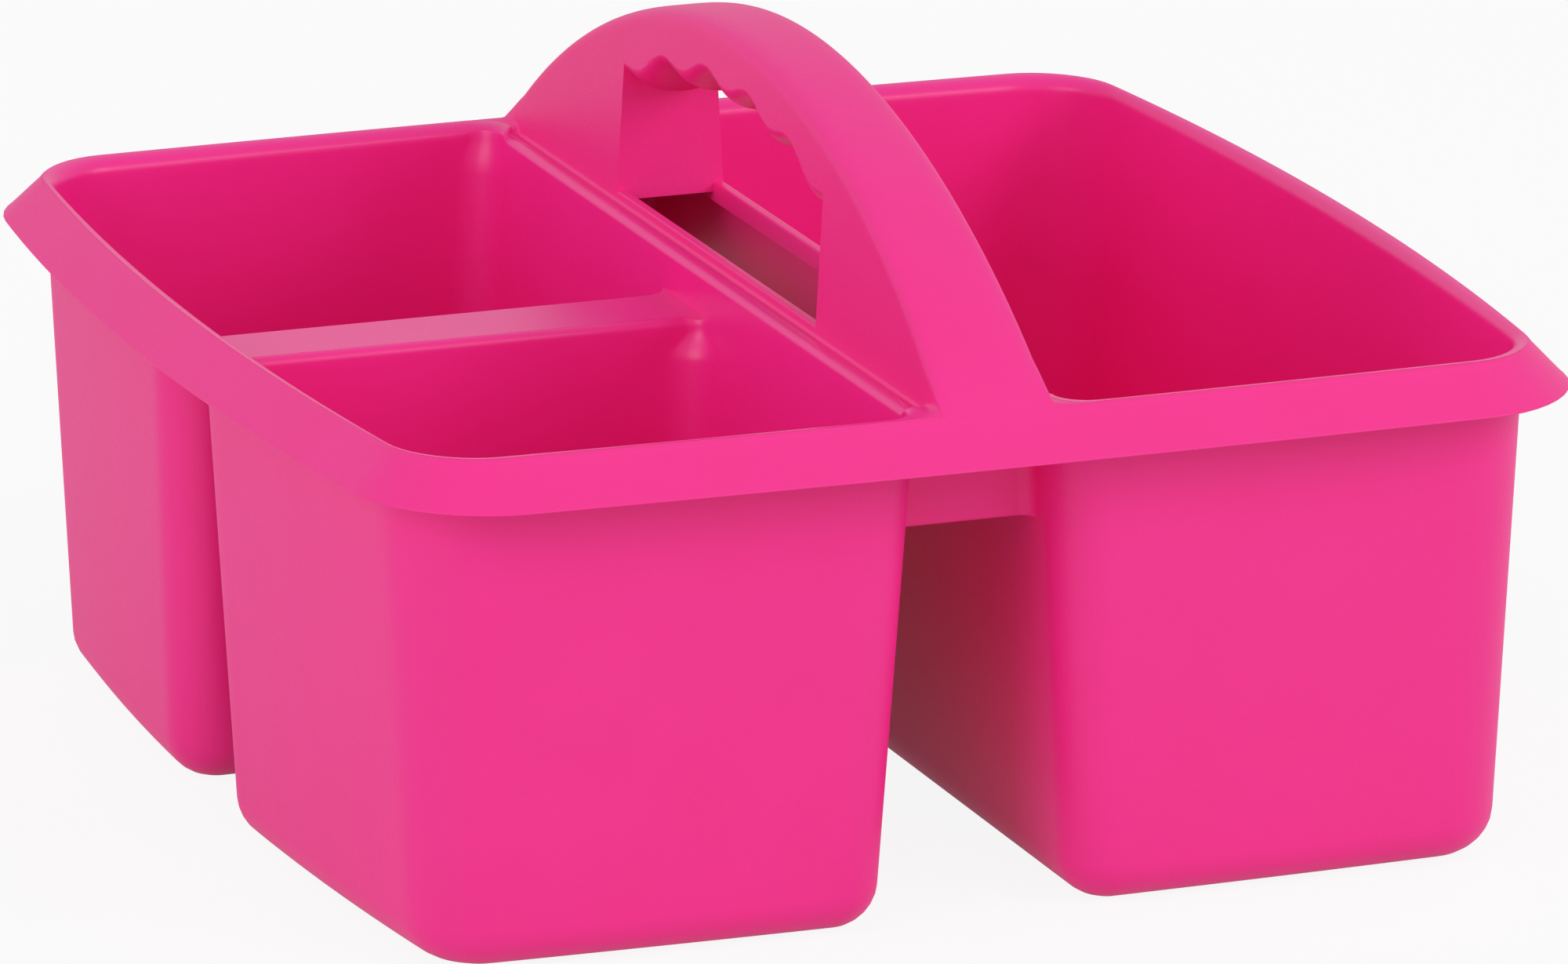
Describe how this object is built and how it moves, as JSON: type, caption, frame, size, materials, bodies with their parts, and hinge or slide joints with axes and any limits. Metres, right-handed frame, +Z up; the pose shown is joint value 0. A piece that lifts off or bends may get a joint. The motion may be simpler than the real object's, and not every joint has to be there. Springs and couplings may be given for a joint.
{
  "type": "cleaning caddy",
  "caption": "Open carry caddy in pink plastic with a big bin along one side, smaller bins along the other, a sloping rim and a fixed arched handle with a finger grip.",
  "frame": {"origin": "centre of the outline, on the plane the three bins stand on", "axes": "+X to the big bin's side, -Y to the front with the longer small bin, +Y to the rear along the handle, +Z up"},
  "size_m": [0.2286, 0.235, 0.1312],
  "materials": {
    "pink_plastic": "satin, fine grain outside and smoother inside the bins"
  },
  "bodies": {
    "root": {"front_left_bin": "pink_plastic", "rear_left_bin": "pink_plastic", "right_bin": "pink_plastic", "left_bin_bridge": "pink_plastic", "rim_front": "pink_plastic", "rim_rear": "pink_plastic", "rim_left": "pink_plastic", "rim_right": "pink_plastic", "left_ledge": "pink_plastic", "right_ledge": "pink_plastic", "front_gap_panel": "pink_plastic", "rear_gap_panel": "pink_plastic", "handle_left_web": "pink_plastic", "handle_right_web": "pink_plastic", "handle_top_strip": "pink_plastic", "finger_grip": "pink_plastic", "front_hole_panel": "pink_plastic", "rear_hole_panel": "pink_plastic"}
  },
  "joints": []
}
